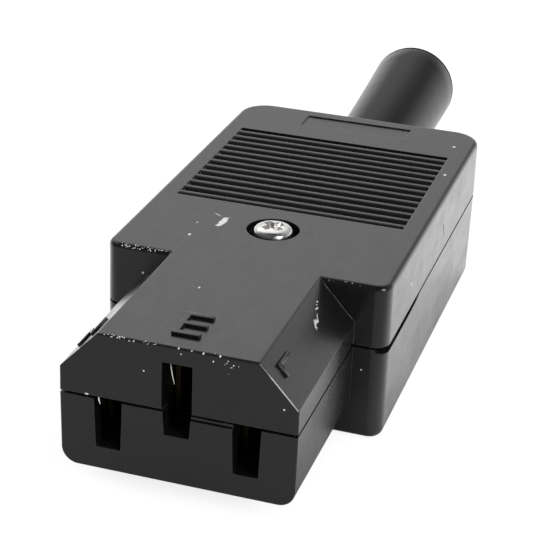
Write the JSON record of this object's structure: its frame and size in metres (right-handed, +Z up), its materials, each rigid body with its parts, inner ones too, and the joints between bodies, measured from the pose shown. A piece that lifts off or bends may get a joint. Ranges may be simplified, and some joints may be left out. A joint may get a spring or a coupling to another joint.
{
  "type": "c13 power connector",
  "caption": "Black rewirable C13 appliance connector with moulded half shells, a ribbed grip, a central housing screw and a flared rubber cord boot.",
  "frame": {"origin": "on the resting plane, under the middle of the connector's length and width", "axes": "+X across the connector, +Y from the mating face towards the cord boot, +Z up out of the face with the grip"},
  "size_m": [0.031, 0.1, 0.018],
  "materials": {
    "shell_plastic": "black moulded nylon, satin",
    "boot_rubber": "smooth black rubber",
    "contact_brass": "plain stamped brass",
    "screw_nickel": "bright nickel plate"
  },
  "bodies": {
    "root": {"upper_shell": "shell_plastic", "lower_shell": "shell_plastic", "housing_screw": "screw_nickel", "housing_nut": "screw_nickel", "cord_boot": "boot_rubber", "line_contact": "contact_brass", "neutral_contact": "contact_brass", "earth_contact": "contact_brass", "line_terminal_screw": "screw_nickel", "neutral_terminal_screw": "screw_nickel", "earth_terminal_screw": "screw_nickel", "line_wire_clamp": "screw_nickel", "neutral_wire_clamp": "screw_nickel", "earth_wire_clamp": "screw_nickel", "cord_clamp_bar": "shell_plastic", "cord_clamp_screw_left": "screw_nickel", "cord_clamp_screw_right": "screw_nickel"}
  },
  "joints": []
}
